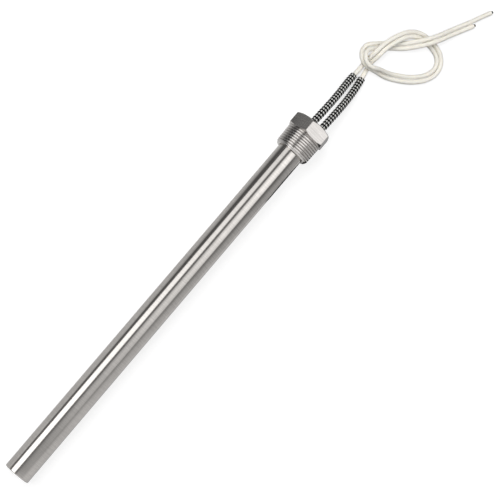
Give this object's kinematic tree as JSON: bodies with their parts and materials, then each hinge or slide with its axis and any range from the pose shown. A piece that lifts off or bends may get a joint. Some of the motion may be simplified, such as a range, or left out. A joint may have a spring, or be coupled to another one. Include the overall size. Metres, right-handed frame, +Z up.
{
  "type": "cartridge heater",
  "caption": "Round metal-sheathed heating rod with a closed tip, a hexagonal pipe-thread plug at the other end and a knotted pair of insulated leads.",
  "frame": {"origin": "on the floor, under the middle of the heater's length from tip to plug face", "axes": "+X along the heater from its tip towards its leads, +Z up from the surface that it lies on"},
  "size_m": [0.4657, 0.0714, 0.0271],
  "materials": {
    "sheath_steel": "ground",
    "plug_steel": "machined",
    "braze": "as brazed",
    "ceramic": "matte",
    "resistance_wire": "drawn",
    "magnesia": "packed powder",
    "cement": "matte",
    "terminal_metal": "nickel",
    "lead_jacket": "satin",
    "sleeve_braid": "braided",
    "conductor": "cut strands"
  },
  "bodies": {
    "root": {"sheath": "sheath_steel", "end_disc": "sheath_steel", "hex_plug": "plug_steel", "braze_ring": "braze", "tip_insulator": "ceramic", "core_segment_1": "ceramic", "core_segment_2": "ceramic", "core_segment_3": "ceramic", "core_segment_4": "ceramic", "core_segment_5": "ceramic", "resistance_coil": "resistance_wire", "magnesia_fill": "magnesia", "top_insulator": "ceramic", "end_seal": "cement", "terminal_pin_1": "terminal_metal", "terminal_pin_2": "terminal_metal", "crimp_1": "terminal_metal", "crimp_2": "terminal_metal", "lead_1": "lead_jacket", "lead_2": "lead_jacket", "sleeve_1": "sleeve_braid", "sleeve_2": "sleeve_braid", "conductor_end_1": "conductor", "conductor_end_2": "conductor"}
  },
  "joints": []
}
